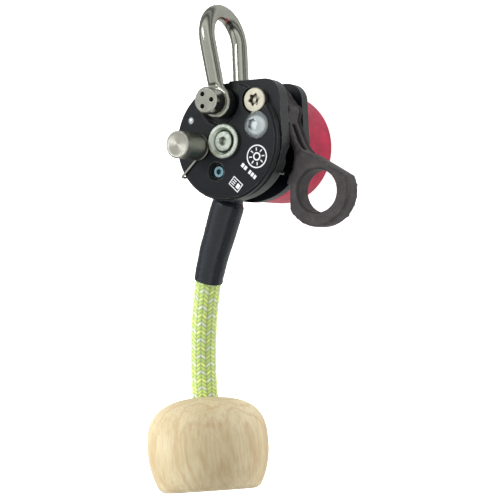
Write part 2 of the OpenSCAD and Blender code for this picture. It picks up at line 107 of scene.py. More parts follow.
# ---------------------------------------------------------------- rope route and knob
# The handle rope's route: the points of part.scad, in millimetres
ROUTE = [[-9.9, -30.4, 39.4], [-11, -33, 39.2], [-13.4, -39, 38.6], [-15.8, -45, 38],
         [-18.4, -51, 37.4], [-20.6, -57, 36.7], [-22.7, -63, 35.9], [-23.8, -66.6, 35.4],
         [-26.5, -77, 33.6], [-28, -84, 32.4], [-29.3, -91, 31.2], [-30.3, -98, 30.1],
         [-31, -105, 29.1], [-31.4, -112, 28.3], [-31.4, -118, 27.9], [-30.9, -124.5, 27.9],
         [-29, -136.3, 29.4], [-27.2, -148, 30.9], [-26, -155.2, 31.8]]
ROPE_D = 13.2 * MM

# The wooden knob's middle. Its axis leans about Z and is tipped off the plane of the plates.
WOOD_AT = Vector((-27, -149, 31)) * MM
WOOD_LEAN = math.radians(9)
WOOD_TILT = math.radians(7)


# ---------------------------------------------------------------- materials
EDGE_SAMPLES = 6
HOLLOW_SAMPLES = 8


class Look:
    """A material round one Principled shader, with short calls that add nodes to it."""

    def __init__(self, name, color, **sockets):
        self.material = bpy.data.materials.new(name)
        self.material.use_nodes = True
        self.tree = self.material.node_tree
        self.shader = self.tree.nodes["Principled BSDF"]
        self.shader.inputs["Base Color"].default_value = (*color, 1)
        for socket, value in sockets.items():
            self.shader.inputs[socket.replace("_", " ")].default_value = value
        self.place = self.tree.nodes.new("ShaderNodeTexCoord").outputs["Object"]

    def add(self, kind, links=None, **settings):
        """A new node. links holds its inputs: a node's output to join, or a value to set."""
        node = self.tree.nodes.new("ShaderNode" + kind)
        for key, value in settings.items():
            setattr(node, key, value)
        for socket, value in (links or {}).items():
            target = node.inputs[socket]
            if isinstance(value, bpy.types.NodeSocket):
                self.tree.links.new(value, target)
            else:
                target.default_value = value
        return node

    def stretched(self, scale, turn=(0, 0, 0)):
        """Object coordinates in millimetres, times scale and then turned."""
        per_mm = [s / MM for s in scale]
        return self.add("Mapping", {"Vector": self.place, "Scale": per_mm,
                                    "Rotation": turn}).outputs[0]

    def noise(self, vector, detail=4, roughness=0.55):
        """Noise between 0 and 1, with cells about 1 across in the vector's units."""
        return self.add("TexNoise", {"Vector": vector, "Scale": 1.0, "Detail": detail,
                                     "Roughness": roughness}).outputs["Fac"]

    def ramp(self, value, low, high, to_low, to_high):
        """The value's span from low to high, mapped onto to_low to to_high and held there outside it."""
        return self.add("MapRange", {"Value": value, "From Min": low, "From Max": high,
                                     "To Min": to_low, "To Max": to_high}).outputs[0]

    def math(self, operation, a, b=0.0):
        """One sum on two values or outputs."""
        return self.add("Math", {0: a, 1: b}, operation=operation).outputs[0]

    def mix(self, share, a, b):
        """Colour a where share is 0, and colour b where it is 1."""
        node = self.add("Mix", {0: share}, data_type="RGBA")
        colour_inputs = [s for s in node.inputs if s.type == "RGBA"]
        for target, value in zip(colour_inputs, (a, b)):
            if isinstance(value, bpy.types.NodeSocket):
                self.tree.links.new(value, target)
            else:
                target.default_value = (*value, 1)
        return [s for s in node.outputs if s.type == "RGBA"][0]

    def edges(self, radius):
        """About 1 along sharp edges within the radius, and 0 on flat surfaces."""
        start, full = 0.02, 0.12
        bevel = self.add("Bevel", {"Radius": radius}, samples=EDGE_SAMPLES).outputs[0]
        normal = self.add("NewGeometry").outputs["Normal"]
        dot = self.add("VectorMath", {0: bevel, 1: normal}, operation="DOT_PRODUCT")
        return self.ramp(dot.outputs["Value"], 1 - start, 1 - full, 0, 1)

    def set(self, socket, value):
        """Joins a node's output to one of the shader's sockets."""
        self.tree.links.new(value, self.shader.inputs[socket])

    def shade_and_dirt_in_hollows(self, reach):
        """0 deep in holes and corners, 1 out in the open."""
        open_share = self.add("AmbientOcclusion", {"Distance": reach}, samples=HOLLOW_SAMPLES)
        return self.ramp(open_share.outputs["AO"], 0.25, 0.85, 0, 1)

    def bump(self, height, strength, distance, soften=None):
        """Bump from a height; soften is how far the sharp edges look rounded."""
        links = {"Height": height, "Strength": strength, "Distance": distance}
        if soften:
            links["Normal"] = self.add("Bevel", {"Radius": soften}, samples=EDGE_SAMPLES).outputs[0]
        self.set("Normal", self.add("Bump", links).outputs[0])


def shade(color, factor):
    """The colour made darker or paler by the factor."""
    return [c * factor for c in color]


def anodised(name, color, edge_wear_and_highlight, roughness, specular, metallic=0.0, painted_wall_sheen=None):
    """Anodised aluminium: satin, with grain and smears. Its pale edges are partly real wear and partly a
    painted highlight along the chamfers. The wall colour, if given, is a painted sheen on its upright
    sides.
    """
    look = Look(name, color, Metallic=metallic, Specular_IOR_Level=specular)
    blotch = look.noise(look.stretched((0.09, 0.09, 0.09)), 3)
    smear = look.noise(look.stretched((0.05, 0.4, 0.2), (0, 0, 0.7)), 5)
    grain = look.noise(look.stretched((5, 5, 5)), 2)
    edge_break_up = look.noise(look.stretched((0.5, 0.5, 0.5)), 4)
    # Pale edges: partly real wear, partly a painted highlight where the chamfers would catch the lamps
    edge = look.math("MULTIPLY", look.edges(0.45 * MM), look.ramp(edge_break_up, 0.38, 0.62, 0.15, 0.75))
    varied = look.mix(look.ramp(blotch, 0.35, 0.7, 0, 1), shade(color, 0.78), shade(color, 1.25))
    # Painted sheen: upright walls get a paler, greener colour, as if they caught more light than the face
    if painted_wall_sheen:
        normal = look.add("NewGeometry").outputs["Normal"]
        level = look.math("ABSOLUTE", look.add("SeparateXYZ", {0: normal}).outputs[2])
        varied = look.mix(look.ramp(level, 0.2, 0.6, 0, 1), painted_wall_sheen, varied)
    look.set("Base Color", look.mix(edge, varied, edge_wear_and_highlight))
    look.set("Roughness", look.ramp(smear, 0.3, 0.75, roughness - 0.06, roughness + 0.1))
    look.bump(grain, 0.10, 0.03 * MM, 0.25 * MM)
    return look.material


def metal(name, color, roughness, stretch=(1.5, 1.5, 1.5), mottle=0.12, grain=0.10, stain=None):
    """Bare or plated steel: brushed or mottled, with duller patches, softened edges, and hollows darkened
    by painted shade and dirt.
    """
    look = Look(name, color, Metallic=1.0)
    brush = look.noise(look.stretched(stretch), 5, 0.6)
    patch = look.noise(look.stretched((0.28, 0.28, 0.28)), 4)
    stain = stain or shade(color, 1 - 1.6 * mottle)
    tone = look.mix(look.ramp(patch, 0.35, 0.68, 0, 1), stain, color)
    # Painted shade: holes and sockets are darkened as if little light got in, together with dirt there
    tone = look.mix(look.shade_and_dirt_in_hollows(2.2 * MM), shade(color, 0.16), tone)
    tone = look.mix(look.ramp(brush, 0.3, 0.7, 0, 0.6 * mottle), tone, shade(color, 0.45))
    look.set("Base Color", tone)
    look.set("Roughness", look.ramp(brush, 0.3, 0.75, max(0.05, roughness - 0.07), roughness + 0.09))
    look.bump(brush, grain, 0.05 * MM, 0.22 * MM)
    return look.material


def turned_metal(name, color, roughness, centre):
    """Steel turned on a lathe: fine rings round an axis along Z through the centre."""
    rings_across, rings_along = 4200, 1900
    look = Look(name, color, Metallic=1.0, Anisotropic=0.8)
    look.set("Tangent", look.add("Tangent", direction_type="RADIAL", axis="Z").outputs[0])
    local = look.add("VectorMath", {0: look.place, 1: (centre.x, centre.y, 0)},
                     operation="SUBTRACT").outputs[0]
    flat = look.add("VectorMath", {0: local, 1: (1, 1, 0)}, operation="MULTIPLY").outputs[0]
    radius = look.add("VectorMath", {0: flat}, operation="LENGTH").outputs["Value"]
    height = look.add("SeparateXYZ", {0: look.place}).outputs[2]
    along = look.math("ADD", look.math("MULTIPLY", radius, rings_across),
                      look.math("MULTIPLY", height, rings_along))
    rings = look.noise(look.add("CombineXYZ", {0: along}).outputs[0], 4, 0.7)
    cloud = look.noise(look.stretched((0.35, 0.35, 0.35)), 4)
    tone = look.mix(look.ramp(rings, 0.25, 0.75, 0, 0.35), color, shade(color, 0.5))
    tone = look.mix(look.ramp(cloud, 0.4, 0.7, 0, 0.25), tone, [0.34, 0.31, 0.24])
    look.set("Base Color", tone)
    look.set("Roughness", look.ramp(rings, 0.25, 0.75, roughness - 0.08, roughness + 0.12))
    look.bump(rings, 0.22, 0.05 * MM, 0.2 * MM)
    return look.material


def cast_steel(name):
    """Warm dark grey casting: pitted and slightly uneven, with edges rubbed paler."""
    look = Look(name, (0.065, 0.057, 0.059), Metallic=0.25, Specular_IOR_Level=0.4)
    pits = look.noise(look.stretched((1.6, 1.6, 1.6)), 6, 0.65)
    waves = look.noise(look.stretched((0.16, 0.16, 0.16)), 3)
    tone = look.mix(look.ramp(waves, 0.35, 0.7, 0, 1), (0.045, 0.040, 0.042), (0.082, 0.072, 0.074))
    tone = look.mix(look.ramp(pits, 0.35, 0.7, 0, 0.5), tone, (0.034, 0.030, 0.031))
    edge = look.math("MULTIPLY", look.edges(0.6 * MM), look.ramp(pits, 0.4, 0.65, 0.1, 0.55))
    look.set("Base Color", look.mix(edge, tone, (0.30, 0.27, 0.27)))
    look.set("Roughness", look.ramp(pits, 0.3, 0.7, 0.42, 0.62))
    look.bump(look.math("ADD", pits, look.math("MULTIPLY", waves, 2.0)), 0.35, 0.12 * MM, 0.4 * MM)
    return look.material


def shrink_tube(name):
    """Glossy black heat-shrink sleeve with fine lengthwise creases."""
    look = Look(name, (0.012, 0.012, 0.014), Specular_IOR_Level=0.55, Coat_Weight=0.25,
                Coat_Roughness=0.22)
    lean_of_tube = -0.37
    crease = look.noise(look.stretched((0.9, 0.22, 0.9), (0, 0, lean_of_tube)), 5, 0.6)
    dust = look.noise(look.stretched((2.5, 2.5, 2.5)), 4, 0.7)
    patch = look.noise(look.stretched((0.12, 0.12, 0.12)), 3)
    look.set("Base Color", look.mix(look.ramp(dust, 0.5, 0.8, 0, 0.35), (0.008, 0.010, 0.016),
                                    (0.035, 0.042, 0.056)))
    look.set("Roughness", look.ramp(patch, 0.35, 0.7, 0.20, 0.42))
    look.bump(look.math("ADD", crease, look.math("MULTIPLY", dust, 0.2)), 0.5, 0.16 * MM)
    return look.material


def braid(name):
    """Rope cover: each stitch's colour, painted shade in its grooves included, comes from the mesh, with
    fine fibres over it.
    """
    look = Look(name, (0.5, 0.65, 0.1), Roughness=0.78, Specular_IOR_Level=0.25, Sheen_Weight=0.35,
                Sheen_Roughness=0.5)
    stitch = look.add("VertexColor", layer_name="stitch").outputs["Color"]
    fibre = look.noise(look.stretched((4.5, 2.2, 4.5)), 4, 0.7)
    soil = look.noise(look.stretched((0.08, 0.05, 0.08)), 3)
    tone = look.mix(look.ramp(fibre, 0.3, 0.75, 0, 0.55), stitch, (0.80, 0.86, 0.55))
    tone = look.mix(look.ramp(soil, 0.45, 0.75, 0, 0.28), tone, (0.42, 0.50, 0.14))
    look.set("Base Color", tone)
    look.bump(fibre, 0.55, 0.12 * MM)
    return look.material


def turned_wood(name, centre, lean):
    """Pale hardwood: long grain down the knob, brown streaks, and fine pores."""
    drift_x, drift_z = 26, 18
    look = Look(name, (0.72, 0.55, 0.37), Roughness=0.5, Specular_IOR_Level=0.35)
    at = look.add("VectorMath", {0: look.place, 1: centre}, operation="SUBTRACT").outputs[0]
    turned = look.add("Mapping", {"Vector": at, "Scale": (1 / MM,) * 3,
                                  "Rotation": (0, 0, -lean)}).outputs[0]

    def grain(scale, shift=(0, 0, 0), vector=turned):
        """The knob's own coordinates in millimetres, with Y down its axis, times scale."""
        return look.add("Mapping", {"Vector": vector, "Scale": scale, "Location": shift}).outputs[0]

    drift = look.math("SUBTRACT", look.noise(grain((0.045, 0.018, 0.045)), 3, 0.5), 0.5)
    sideways = look.add("CombineXYZ", {0: look.math("MULTIPLY", drift, drift_x),
                                       2: look.math("MULTIPLY", drift, drift_z)}).outputs[0]
    drifted = look.add("VectorMath", {0: turned, 1: sideways}, operation="ADD").outputs[0]
    wave = {"Vector": grain((0.115, 0.022, 0.115), (3.4, 0, 2.2), drifted), "Scale": 0.42,
            "Distortion": 2.6, "Detail": 3, "Detail Scale": 1.2}
    rings = look.add("TexWave", wave, wave_type="RINGS", rings_direction="Y").outputs["Fac"]
    streak = look.noise(grain((0.75, 0.035, 0.75)), 6, 0.62)
    fine = look.noise(grain((3.2, 0.16, 3.2)), 5, 0.65)
    patch = look.noise(grain((0.05, 0.03, 0.05), (7, 1, 3)), 3)
    tone = look.mix(look.ramp(patch, 0.35, 0.68, 0, 1), (0.62, 0.54, 0.345), (0.49, 0.395, 0.225))
    tone = look.mix(look.ramp(rings, 0.66, 1.0, 0, 0.40), tone, (0.46, 0.31, 0.16))
    tone = look.mix(look.ramp(streak, 0.52, 0.74, 0, 0.62), tone, (0.40, 0.245, 0.125))
    tone = look.mix(look.ramp(fine, 0.46, 0.74, 0, 0.34), tone, (0.37, 0.24, 0.14))
    tone = look.mix(look.ramp(streak, 0.30, 0.46, 0.30, 0), tone, (0.74, 0.65, 0.46))
    look.set("Base Color", tone)
    look.set("Roughness", look.ramp(fine, 0.3, 0.7, 0.42, 0.58))
    look.bump(look.math("ADD", fine, streak), 0.22, 0.10 * MM)
    return look.material


def print_ink(name):
    """White printed mark, slightly worn."""
    look = Look(name, (0.72, 0.74, 0.75), Specular_IOR_Level=0.3)
    wear = look.noise(look.stretched((1.4, 1.4, 1.4)), 5, 0.7)
    look.set("Base Color", look.mix(look.ramp(wear, 0.55, 0.75, 0, 0.55), (0.76, 0.78, 0.79),
                                    (0.20, 0.21, 0.23)))
    look.set("Roughness", look.ramp(wear, 0.3, 0.7, 0.45, 0.65))
    look.bump(wear, 0.15, 0.02 * MM)
    return look.material


# One material for each slot of the record
LOOKS = {
    # For both anodised finishes the third colour is edge wear together with a painted edge highlight; the
    # black one's last colour is a painted sheen on its upright walls
    "black_anodised": anodised("black_anodised", (0.0030, 0.0040, 0.0070), (0.22, 0.235, 0.23),
                               0.33, 0.34, painted_wall_sheen=(0.026, 0.031, 0.030)),
    "red_anodised": anodised("red_anodised", (0.50, 0.014, 0.066), (0.70, 0.22, 0.27),
                             0.38, 0.5, 0.35),
    "cast_grey": cast_steel("cast_grey"),
    "stainless_polished": metal("stainless_polished", (0.62, 0.61, 0.55), 0.17, (1.2, 0.3, 1.2),
                                0.06, 0.05),
    "stainless_brushed": metal("stainless_brushed", (0.66, 0.635, 0.585), 0.31, (3, 3, 0.4),
                               0.10, 0.10),
    "zinc": metal("zinc", (0.94, 0.98, 1.0), 0.30, (0.7, 0.7, 0.7), 0.20, 0.45,
                  (0.74, 0.82, 0.90)),
    "zinc_yellow": metal("zinc_yellow", (0.90, 0.94, 0.87), 0.31, (0.9, 0.9, 0.9), 0.12, 0.16,
                         (0.66, 0.73, 0.64)),
    "nickel": metal("nickel", (0.72, 0.67, 0.56), 0.36, (1.2, 1.2, 1.2), 0.10, 0.12),
    "zinc_blue": metal("zinc_blue", (0.40, 0.66, 0.80), 0.26, (0.8, 0.8, 0.8), 0.12, 0.12),
    "bronze": metal("bronze", (0.52, 0.34, 0.15), 0.32),
    "steel": metal("steel", (0.42, 0.43, 0.44), 0.34),
    "spring_steel": metal("spring_steel", (0.50, 0.51, 0.53), 0.26),
    "braid_green": braid("braid_green"),
    "shrink_black": shrink_tube("shrink_black"),
    "wood": turned_wood("wood", WOOD_AT, WOOD_LEAN),
}
INK = print_ink("print_ink")

for entry in frame["record"]["subparts"]:
    piece = NODES[entry["node"]]
    piece.data.materials.clear()
    piece.data.materials.append(LOOKS[entry["material_slot"]])


# ---------------------------------------------------------------- mesh helpers
def new_piece(name, mesh, body, slot, replaces=(), material=None):
    """A visible piece in the row frame that rides on a body."""
    piece = bpy.data.objects.new(name, mesh)
    SCENE.collection.objects.link(piece)
    mesh.materials.clear()
    mesh.materials.append(material or LOOKS[slot])
    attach(piece, body)
    if replaces:
        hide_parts(*replaces)
    return piece


def grid_mesh(name, rows, close_ends=False):
    """A mesh of closed rows of points, each row joined to the next one."""
    rows = np.asarray(rows, float)
    n, m = rows.shape[:2]
    faces = []
    for i in range(n if close_ends else n - 1):
        for j in range(m):
            k, following = (j + 1) % m, (i + 1) % n
            faces.append((i * m + j, i * m + k, following * m + k, following * m + j))
    mesh = bpy.data.meshes.new(name)
    mesh.from_pydata(rows.reshape(-1, 3).tolist(), [], faces)
    mesh.update()
    mesh.shade_smooth()
    return mesh


def face_outwards(mesh, cap_sides=0):
    """Turns every face outwards, after closing open ends of up to cap_sides sides."""
    bm = bmesh.new()
    bm.from_mesh(mesh)
    if cap_sides:
        open_edges = [edge for edge in bm.edges if edge.is_boundary]
        bmesh.ops.holes_fill(bm, edges=open_edges, sides=cap_sides)
    bmesh.ops.recalc_face_normals(bm, faces=bm.faces)
    bm.to_mesh(mesh)
    bm.free()


def turn_of(count):
    """That many angles evenly round a full turn."""
    return np.linspace(0, 2 * math.pi, count, endpoint=False)


def level_ring(radii, height, angles, x=0.0, y=0.0):
    """A ring of points round a vertical axis, with a radius for each angle."""
    return np.stack([x + radii * np.cos(angles), y + radii * np.sin(angles),
                     0 * angles + height], 1)


def ring_round(point, side, up, radii, angles):
    """A ring of points round a line's point, in the plane of its two sideways vectors."""
    around = np.cos(angles)[:, None] * side + np.sin(angles)[:, None] * up
    return point + radii[:, None] * around


def smooth_line(points, count):
    """A smooth line through the points (Catmull-Rom) with even spacing, and the length at each point."""
    steps_between = 24
    p = np.asarray(points, float)
    p = np.vstack([2 * p[0] - p[1], p, 2 * p[-1] - p[-2]])
    dense = []
    for i in range(1, len(p) - 2):
        for t in np.linspace(0, 1, steps_between, endpoint=False):
            dense.append(0.5 * (2 * p[i] + (p[i + 1] - p[i - 1]) * t
                                + (2 * p[i - 1] - 5 * p[i] + 4 * p[i + 1] - p[i + 2]) * t ** 2
                                + (3 * p[i] - p[i - 1] - 3 * p[i + 1] + p[i + 2]) * t ** 3))
    dense = np.array(dense + [p[-2]])
    s = np.concatenate([[0], np.cumsum(np.linalg.norm(np.diff(dense, axis=0), axis=1))])
    even = np.linspace(0, s[-1], count)
    return np.stack([np.interp(even, s, dense[:, k]) for k in range(3)], 1), even


def tube_frame(line):
    """Two sideways unit vectors at each point of a line that never runs along Z."""
    tangent = np.gradient(line, axis=0)
    tangent /= np.linalg.norm(tangent, axis=1)[:, None]
    side = np.cross(tangent, [0, 0, 1.0])
    side /= np.linalg.norm(side, axis=1)[:, None]
    return side, np.cross(side, tangent)


def wire_curve(name, points, radius, body, slot, replaces):
    """A piece of round wire as a curve along the points."""
    data = bpy.data.curves.new(name, "CURVE")
    data.dimensions = "3D"
    data.bevel_depth = radius
    data.bevel_resolution = 4
    data.use_fill_caps = True
    spline = data.splines.new("POLY")
    spline.points.add(len(points) - 1)
    for target, point in zip(spline.points, points):
        target.co = (*point, 1)
    data.materials.append(LOOKS[slot])
    piece = bpy.data.objects.new(name, data)
    SCENE.collection.objects.link(piece)
    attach(piece, body)
    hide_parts(replaces)
    return piece


# ---------------------------------------------------------------- handle rope
STITCH_COLUMNS = 16
STITCH_PITCH = 2.15 * MM
STITCH_SLANT = 0.95
POINTS_PER_COLUMN = 8
ROPE_ROWS = 620
ROPE_RELIEF = 0.42 * MM
TINTS = 997
LIME = np.array([0.50, 0.71, 0.07])
BRIGHT_LIME = np.array([0.70, 0.85, 0.13])
PALE = np.array([0.72, 0.80, 0.64])
# Painted shade for the sunk grooves between stitches
GROOVE_SHADE = np.array([0.10, 0.17, 0.04])


def braid_at(angle, along, tints):
    """Height and colour of the braid: columns of slanted stitches that mirror each other, with painted
    shade darkening the grooves between them.
    """
    x = angle / (2 * math.pi) * STITCH_COLUMNS
    column = np.floor(x).astype(int)
    across = x - column
    lean = np.where(column % 2 == 0, across, 1 - across)
    y = along / STITCH_PITCH + STITCH_SLANT * lean
    row = np.floor(y).astype(int)
    up = y - row
    height = np.sin(math.pi * up) ** 0.55 * np.sin(math.pi * np.clip(across, 0.02, 0.98)) ** 0.35
    pick = ((row + 2 * (column // 2)) % 4)[..., None]
    colour = np.where(pick == 0, PALE, np.where(pick == 2, BRIGHT_LIME, LIME))
    tint = tints[(row * 31 + column * 17) % len(tints)]
    colour = colour * (0.86 + 0.28 * tint)[..., None]
    # Painted shade: the lower the braid, the closer its colour comes to the dark groove colour
    sunk = np.clip(1.25 - 1.35 * height, 0, 1)[..., None]
    return height, colour * (1 - sunk) + GROOVE_SHADE * sunk


def colour_stitches(mesh, colour):
    """Stores each point's colour where the braid material reads it."""
    layer = mesh.color_attributes.new("stitch", "FLOAT_COLOR", "POINT")
    rgba = np.concatenate([colour, np.ones(colour.shape[:2] + (1,))], 2)
    layer.data.foreach_set("color", rgba.reshape(-1).astype(np.float32))


def make_rope():
    """The braided handle rope. Gives the piece, its centre line and its length."""
    line, along = smooth_line(np.array(ROUTE) * MM, ROPE_ROWS)
    side, up = tube_frame(line)
    sides = STITCH_COLUMNS * POINTS_PER_COLUMN
    angles = turn_of(sides)
    angle_grid, along_grid = np.meshgrid(angles, along)
    height, colour = braid_at(angle_grid, along_grid, np.random.default_rng(7).random(TINTS))
    radius = ROPE_D / 2 - ROPE_RELIEF + ROPE_RELIEF * height
    rows = [ring_round(line[i], side[i], up[i], radius[i], angles) for i in range(ROPE_ROWS)]
    mesh = grid_mesh("rope_braid", rows)
    colour_stitches(mesh, colour)
    face_outwards(mesh, cap_sides=sides)
    rope = new_piece("rope_braid", mesh, "lever", "braid_green", ["handle_rope"])
    return rope, line, float(along[-1])


ROPE, ROPE_LINE, ROPE_LENGTH = make_rope()

# ---------------------------------------------------------------- shrink sleeve
# The sleeve starts inside the brake cam, ahead of the rope's route, and then follows the route.
# SLEEVE_RADII has its outer radius at each of those points. All of this is in millimetres.
SLEEVE_HEAD = [[-8, -24.7, 39.5], [-8.6, -26.8, 39.5], [-9.3, -28.8, 39.5]]
SLEEVE_RADII = [6.8, 6.8, 8, 8.2, 8.2, 8.1, 7.95, 7.75, 7.55, 7.4, 7.2]
SLEEVE_BORE = 6.95
SLEEVE_HEAD_BORE = 6.55
SLEEVE_HEAD_LENGTH = 6.5
SLEEVE_LIP = (7.12, 7.02, SLEEVE_BORE)
# The creases grow from nothing to full depth over this share of the length, from this share on
SLEEVE_CREASED_FROM = 0.3
SLEEVE_CREASED_OVER = 0.3
SLEEVE_ROWS = 170
SLEEVE_SIDES = 96


def waves_round(angles, size, shift, height):
    """Noise for each angle of a ring, the same again after a full turn."""
    return np.array([noise.noise(Vector((size * math.cos(a) + shift, size * math.sin(a), height)))
                     for a in angles])


def make_sleeve():
    """The shrink sleeve: creased where it grips the rope, and open at both ends."""
    points = np.array(SLEEVE_HEAD + ROUTE[:8]) * MM
    line, along = smooth_line(points, SLEEVE_ROWS)
    side, up = tube_frame(line)
    steps = np.linalg.norm(np.diff(points, axis=0), axis=1)
    marks = np.concatenate([[0], np.cumsum(steps)]) * along[-1] / steps.sum()
    radius = np.interp(along, marks, np.array(SLEEVE_RADII) * MM)
    angles = turn_of(SLEEVE_SIDES)
    rows = []
    for i in range(SLEEVE_ROWS):
        share = along[i] / along[-1]
        crease = waves_round(angles, 2.6, 0, 9 * share)
        fold = waves_round(angles, 1.2, 5, 24 * share)
        amount = min(1, max(0, (share - SLEEVE_CREASED_FROM) / SLEEVE_CREASED_OVER))
        depth = amount * MM * (0.12 * crease + 0.10 * fold)
        rows.append((i, radius[i] - 0.10 * MM + np.clip(depth, -0.2 * MM, 0.08 * MM)))
    last = SLEEVE_ROWS - 1
    rows += [(last, 0 * angles + r * MM) for r in SLEEVE_LIP]
    for i in range(last - 2, -1, -6):
        bore = SLEEVE_BORE if along[i] > SLEEVE_HEAD_LENGTH * MM else SLEEVE_HEAD_BORE
        rows.append((i, 0 * angles + bore * MM))
    grid = [ring_round(line[i], side[i], up[i], radii, angles) for i, radii in rows]
    return new_piece("shrink_sleeve", grid_mesh("shrink_sleeve", grid, close_ends=True), "lever",
                     "shrink_black", ["rope_sleeve"])


make_sleeve()

# ---------------------------------------------------------------- wooden knob
# Millimetres, measured down the knob's axis from its middle, and out from the axis
WOOD_R = 30.5
WOOD_HALF = 23
WOOD_BELLY = 1.5
WOOD_ABOVE_BELLY = 25
WOOD_BELOW_BELLY = 36
WOOD_BORE = 7.35
WOOD_BORE_ROUND = 1.2
WOOD_FOOT_ROUND = 1.6
WOOD_POCKET_R = 13
WOOD_POCKET_FLOOR = 5
WOOD_SIDES = 160
ON_WOOD = (Matrix.Rotation(WOOD_LEAN, 4, "Z")
           @ Matrix.Rotation(math.pi / 2 - WOOD_TILT, 4, "X"))


def wood_radius(s):
    """Radius of the knob at a distance s down its axis."""
    if s < WOOD_BELLY:
        return WOOD_R * (1 - ((WOOD_BELLY - s) / WOOD_ABOVE_BELLY) ** 3) ** (1 / 2.6)
    return WOOD_R * math.sqrt(1 - ((s - WOOD_BELLY) / WOOD_BELOW_BELLY) ** 2)


def wood_profile():
    """The knob's closed outline: along the bore, over the outside, and into the knot's pocket."""
    profile = [(WOOD_BORE, WOOD_POCKET_FLOOR), (WOOD_BORE, 0), (WOOD_BORE, -WOOD_HALF + WOOD_BORE_ROUND)]
    for a in np.linspace(0.2, math.pi / 2, 6):
        profile.append((WOOD_BORE + WOOD_BORE_ROUND - WOOD_BORE_ROUND * math.cos(a),
                        -WOOD_HALF + WOOD_BORE_ROUND - WOOD_BORE_ROUND * math.sin(a)))
    for s in -WOOD_HALF + (2 * WOOD_HALF - WOOD_FOOT_ROUND) * np.linspace(0, 1, 60):
        profile.append((wood_radius(s) - 0.02, s))
    foot = wood_radius(WOOD_HALF)
    for k in (1, 2, 3, 4):
        profile.append((foot - 0.5 * k ** 2 * 0.45,
                        WOOD_HALF - WOOD_FOOT_ROUND + WOOD_FOOT_ROUND * math.sin(k * math.pi / 8)))
    profile += [(WOOD_POCKET_R + 2.2, WOOD_HALF), (WOOD_POCKET_R + 0.6, WOOD_HALF - 0.2),
                (WOOD_POCKET_R, WOOD_HALF - 0.9), (WOOD_POCKET_R, 15),
                (WOOD_POCKET_R, WOOD_POCKET_FLOOR)]
    return [(r * MM, s * MM) for r, s in profile]


def make_knob():
    """The wooden knob, turned round its axis and very slightly uneven."""
    angles = turn_of(WOOD_SIDES)
    rows = []
    for radius, height in wood_profile():
        unevenness = -0.10 * MM + 0.10 * MM * waves_round(angles, 0.9, 0, 30 * height)
        rows.append(level_ring(radius + unevenness, height, angles))
    mesh = grid_mesh("turned_knob", rows, close_ends=True)
    mesh.transform(ON_WOOD)
    mesh.transform(Matrix.Translation(WOOD_AT))
    face_outwards(mesh)
    return new_piece("turned_knob", mesh, "lever", "wood", ["wooden_knob"])


WOODEN_KNOB = make_knob()


# The knot in the pocket: two bulges, whose outlines are arcs. Each has its centre's distance from
# the axis and height above the base, its radius, its first and last angle, and its point count,
# in millimetres and degrees.
KNOT_BASE = 6.7
KNOT_HEIGHT = 14.9
KNOT_TIP_R = 0.3
KNOT_ARCS = ((6.4, 4.6, 4.6, -90, 62, 34), (4.4, 10.6, 4.4, -14, 90, 22))
KNOT_STRANDS = 3
KNOT_TWIST = 3.2 * MM
KNOT_SIDES = 128


def knot_profile():
    """The knot's outline from its base to its tip, in millimetres."""
    profile = [(KNOT_TIP_R, KNOT_BASE)]
    for x, y, r, first, last, count in KNOT_ARCS:
        for a in np.radians(np.linspace(first, last, count)):
            profile.append((x + r * math.cos(a), KNOT_BASE + y + r * math.sin(a)))
    return profile + [(KNOT_TIP_R, KNOT_BASE + KNOT_HEIGHT)]


def make_stopper_knot():
    """The rope's end, tied into a lump whose strands bulge round the knob's axis."""
    profile = knot_profile()
    angles = turn_of(KNOT_SIDES)
    run = np.concatenate([[0], np.cumsum(np.hypot(*np.diff(np.array(profile), axis=0).T))]) * MM
    angle_grid, along_grid = np.meshgrid(angles, run)
    height, colour = braid_at(angle_grid, along_grid, np.random.default_rng(11).random(TINTS))
    strands = 0.5 + 0.5 * np.cos(KNOT_STRANDS * angle_grid + along_grid / KNOT_TWIST)
    rows = []
    for i, (radius, at) in enumerate(profile):
        sunk = min(1, radius / 4) * (0.3 * (1 - height[i]) + 0.9 * (1 - strands[i]) ** 2)
        rows.append(level_ring((radius - 0.02 - sunk) * MM, at * MM, angles))
    mesh = grid_mesh("tied_knot", rows)
    colour_stitches(mesh, colour)
    mesh.transform(Matrix.Translation(WOOD_AT) @ ON_WOOD)
    return new_piece("tied_knot", mesh, "lever", "braid_green", ["stopper_knot"])


STOPPER_KNOT = make_stopper_knot()


# ---------------------------------------------------------------- forged and cast pieces
def remeshed(node, voxel):
    """A copy of a CAD node's mesh made of even little squares."""
    copy = bpy.data.objects.new("remesh", NODES[node].data.copy())
    SCENE.collection.objects.link(copy)
    modifier = copy.modifiers.new("voxels", "REMESH")
    modifier.mode = "VOXEL"
    modifier.voxel_size = voxel
    modifier.use_smooth_shade = True
    bpy.context.view_layer.update()
    mesh = bpy.data.meshes.new_from_object(copy.evaluated_get(bpy.context.evaluated_depsgraph_get()))
    bpy.data.objects.remove(copy)
    return mesh


def mesh_arrays(mesh):
    """The mesh's points and its normals at them, as rows of three."""
    points = np.empty(len(mesh.vertices) * 3)
    mesh.vertices.foreach_get("co", points)
    normals = np.empty(len(mesh.vertices) * 3)
    mesh.vertices.foreach_get("normal", normals)
    return points.reshape(-1, 3), normals.reshape(-1, 3)


def set_points(mesh, points):
    """Puts the mesh's points at new places."""
    mesh.vertices.foreach_set("co", points.reshape(-1))
    mesh.update()
    mesh.shade_smooth()


